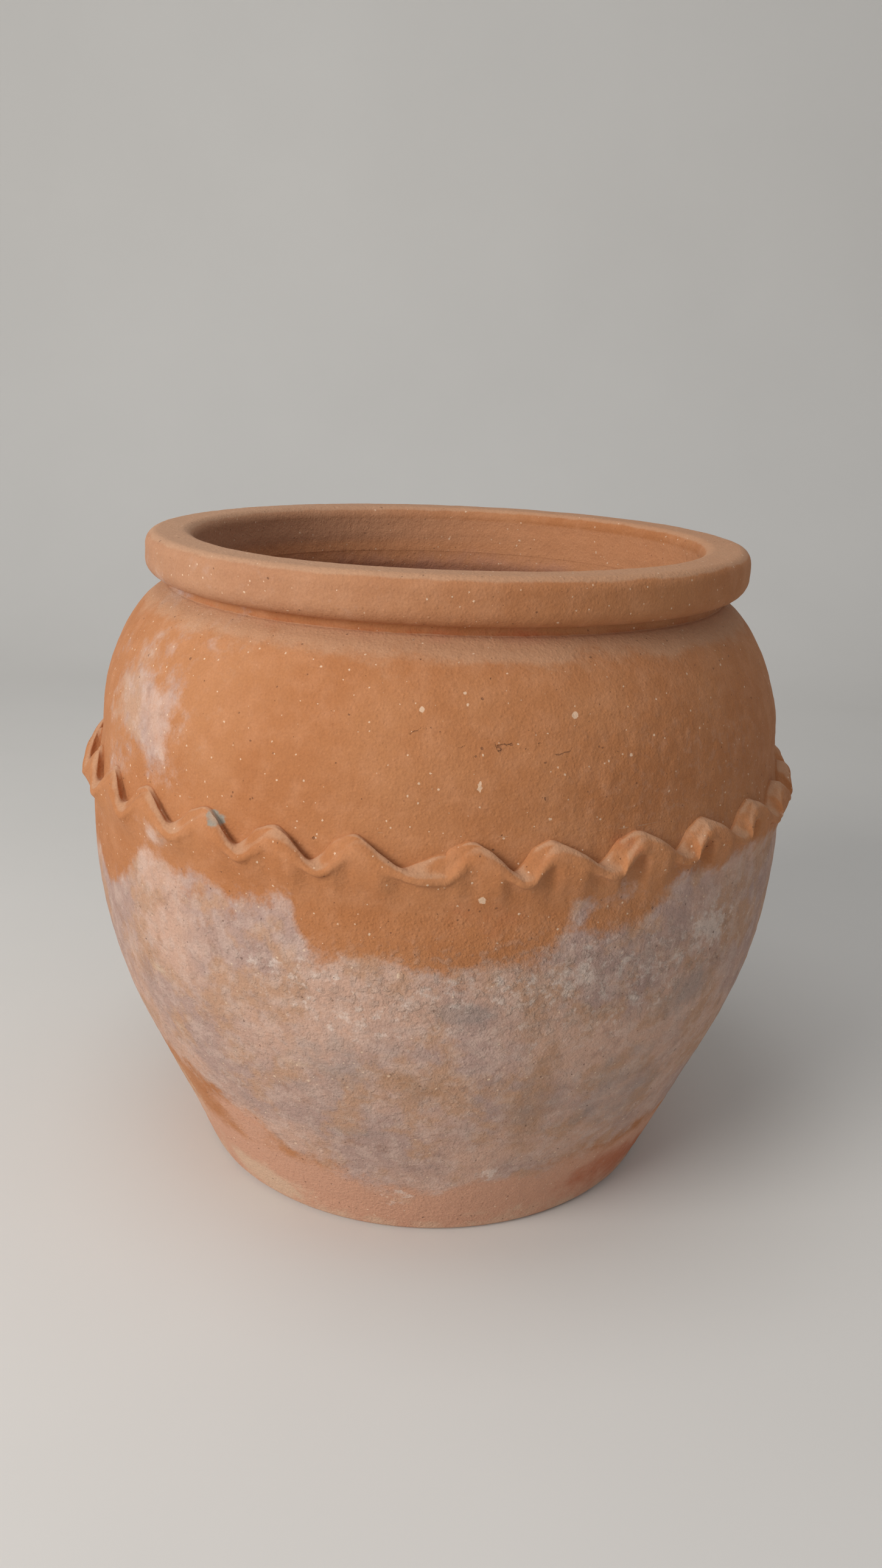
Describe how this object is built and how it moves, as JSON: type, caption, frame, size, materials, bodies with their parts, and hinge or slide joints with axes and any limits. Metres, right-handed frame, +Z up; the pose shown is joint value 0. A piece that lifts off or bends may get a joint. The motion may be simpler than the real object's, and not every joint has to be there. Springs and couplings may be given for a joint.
{
  "type": "terracotta pot",
  "caption": "Large round unglazed terracotta planter with a rolled rim, a swelling belly, a pinched wavy frill around its widest part and a drain hole in a flat base.",
  "frame": {"origin": "centre of the drain hole at the underside, on the ground plane", "axes": "+Z up along the pot's axis; -Y is the side where the visible join in the frill lies; +X to the right of that side"},
  "size_m": [0.4926, 0.4926, 0.43],
  "materials": {
    "terracotta": "unglazed, matt, fine gritty orange earthenware with small lime specks and pits",
    "weathered_terracotta": "unglazed, matt, coarse orange earthenware under a pale mauve-grey mineral bloom"
  },
  "bodies": {
    "root": {"floor_slab": "weathered_terracotta", "floor_coil": "terracotta", "body_ring": "weathered_terracotta", "shoulder_ring": "terracotta", "neck_ring": "terracotta", "rim_coil": "terracotta", "frill_strip_left": "terracotta", "frill_strip_right": "terracotta"}
  },
  "joints": []
}
